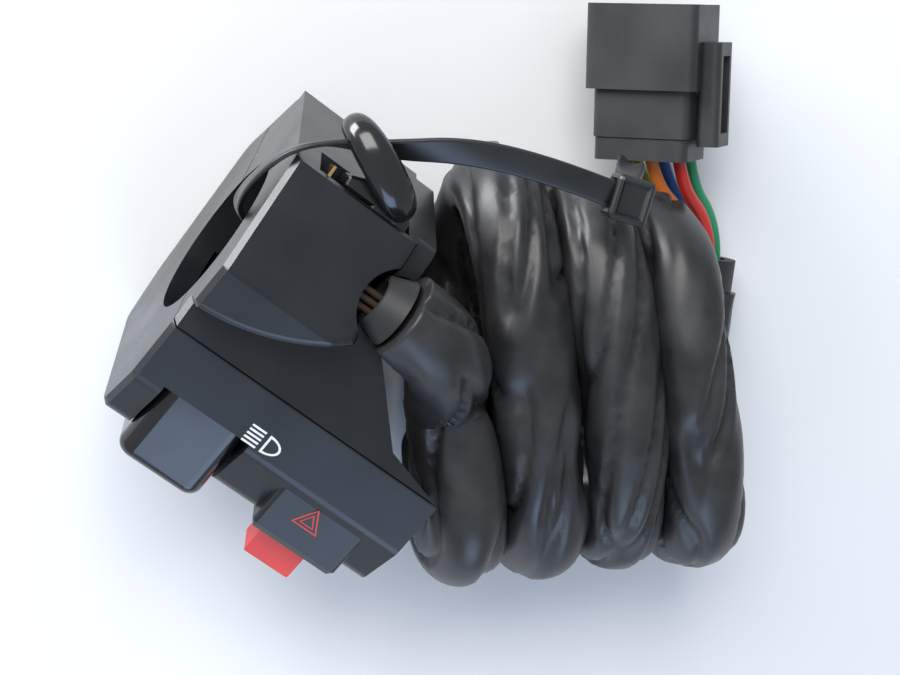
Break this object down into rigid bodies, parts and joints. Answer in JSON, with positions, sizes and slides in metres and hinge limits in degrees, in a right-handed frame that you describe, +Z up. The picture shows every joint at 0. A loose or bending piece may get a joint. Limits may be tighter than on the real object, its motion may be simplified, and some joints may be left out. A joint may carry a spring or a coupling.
{
  "type": "handlebar switch cluster",
  "caption": "Clamp-on motorcycle handlebar switch: split housing, dimmer rocker, turn slide, horn and hazard buttons, passing trigger, and a folded loom with its connector.",
  "frame": {"origin": "on the handlebar's axis, 20 mm inboard of the housing's grip-side face", "axes": "+X inboard along the bar, away from the grip; +Y forward, away from the rider; +Z up"},
  "size_m": [0.0839, 0.0969, 0.0439],
  "materials": {
    "housing": "fine-grained moulded plastic with a low sheen",
    "gloss_black": "glossy black moulded plastic",
    "red": "semi-gloss red moulded plastic",
    "grey_knob": "semi-gloss black moulded plastic",
    "horn_face": "semi-gloss dark moulded plastic",
    "white_nylon": "natural white nylon",
    "phenolic": "brown moulded insulating board",
    "brass": "bright stamped brass",
    "spring_steel": "drawn spring wire",
    "zinc_steel": "zinc-plated steel",
    "grommet_rubber": "soft matt black rubber",
    "sheath": "soft black sheath with a slight sheen",
    "tape": "wound black tape",
    "connector": "black moulded nylon",
    "wire_red": "soft insulation",
    "wire_orange": "soft insulation",
    "wire_brown": "soft insulation",
    "wire_green_yellow": "soft insulation",
    "wire_blue": "soft insulation",
    "wire_green": "soft insulation"
  },
  "bodies": {
    "housing": {"connector_body": "connector", "connector_rear_lock": "white_nylon", "connector_terminals": "brass", "dimmer_contact_base": "phenolic", "dimmer_contacts": "brass", "dimmer_pin": "zinc_steel", "dimmer_spring": "spring_steel", "front_housing": "housing", "hazard_contacts": "brass", "hazard_spring": "spring_steel", "hazard_switch_base": "white_nylon", "horn_contact_base": "phenolic", "horn_contacts": "brass", "horn_spring": "spring_steel", "housing_screws": "zinc_steel", "inner_plate": "phenolic", "inner_wires": "wire_brown", "loom_grommet": "grommet_rubber", "loom_hank": "sheath", "loom_lead": "sheath", "loom_tail": "sheath", "plate_screws": "zinc_steel", "rear_housing": "housing", "sheath_end_band": "tape", "trigger_contact_base": "phenolic", "trigger_contact_blade": "brass", "trigger_pin": "zinc_steel", "trigger_spring": "spring_steel", "turn_contact_base": "phenolic", "turn_contacts": "brass", "turn_detent_ball": "zinc_steel", "turn_detent_spring": "spring_steel", "wire_blue": "wire_blue", "wire_brown": "wire_brown", "wire_green": "wire_green", "wire_green_yellow": "wire_green_yellow", "wire_orange": "wire_orange", "wire_red": "wire_red"},
    "rocker": {"dimmer_rocker": "gloss_black"},
    "horn": {"horn_button": "horn_face", "horn_contact_bridge": "brass"},
    "turn_switch": {"turn_signal_knob": "grey_knob", "turn_signal_carrier": "white_nylon", "turn_contact_bridge": "brass"},
    "hazard": {"hazard_button": "red", "hazard_contact_bridge": "brass"},
    "trigger": {"passing_trigger": "gloss_black"}
  },
  "joints": [
    {"name": "dimmer_tilt", "type": "hinge", "parent": "housing", "child": "rocker", "pos_m": [-0.00935, -0.01732, 0.00102], "axis": [1, 0, 0], "range_deg": [0, 6]},
    {"name": "horn_press", "type": "slide", "parent": "housing", "child": "horn", "axis": [0, 0.9455, 0.3256], "range_m": [0, 0.0014], "stiffness_N_per_m": 400, "deforming": ["horn_spring"]},
    {"name": "turn_slide", "type": "slide", "parent": "housing", "child": "turn_switch", "axis": [1, 0, 0], "range_m": [-0.003, 0.003]},
    {"name": "hazard_press", "type": "slide", "parent": "housing", "child": "hazard", "axis": [0, 0.9455, 0.3256], "range_m": [0, 0.0018], "stiffness_N_per_m": 400, "deforming": ["hazard_spring"]},
    {"name": "trigger_pull", "type": "hinge", "parent": "housing", "child": "trigger", "pos_m": [-0.0054, 0.0127, 0.0108], "axis": [0, 0, 1], "range_deg": [0, 8], "stiffness_Nm_per_rad": 0.5, "deforming": ["trigger_spring"]}
  ]
}
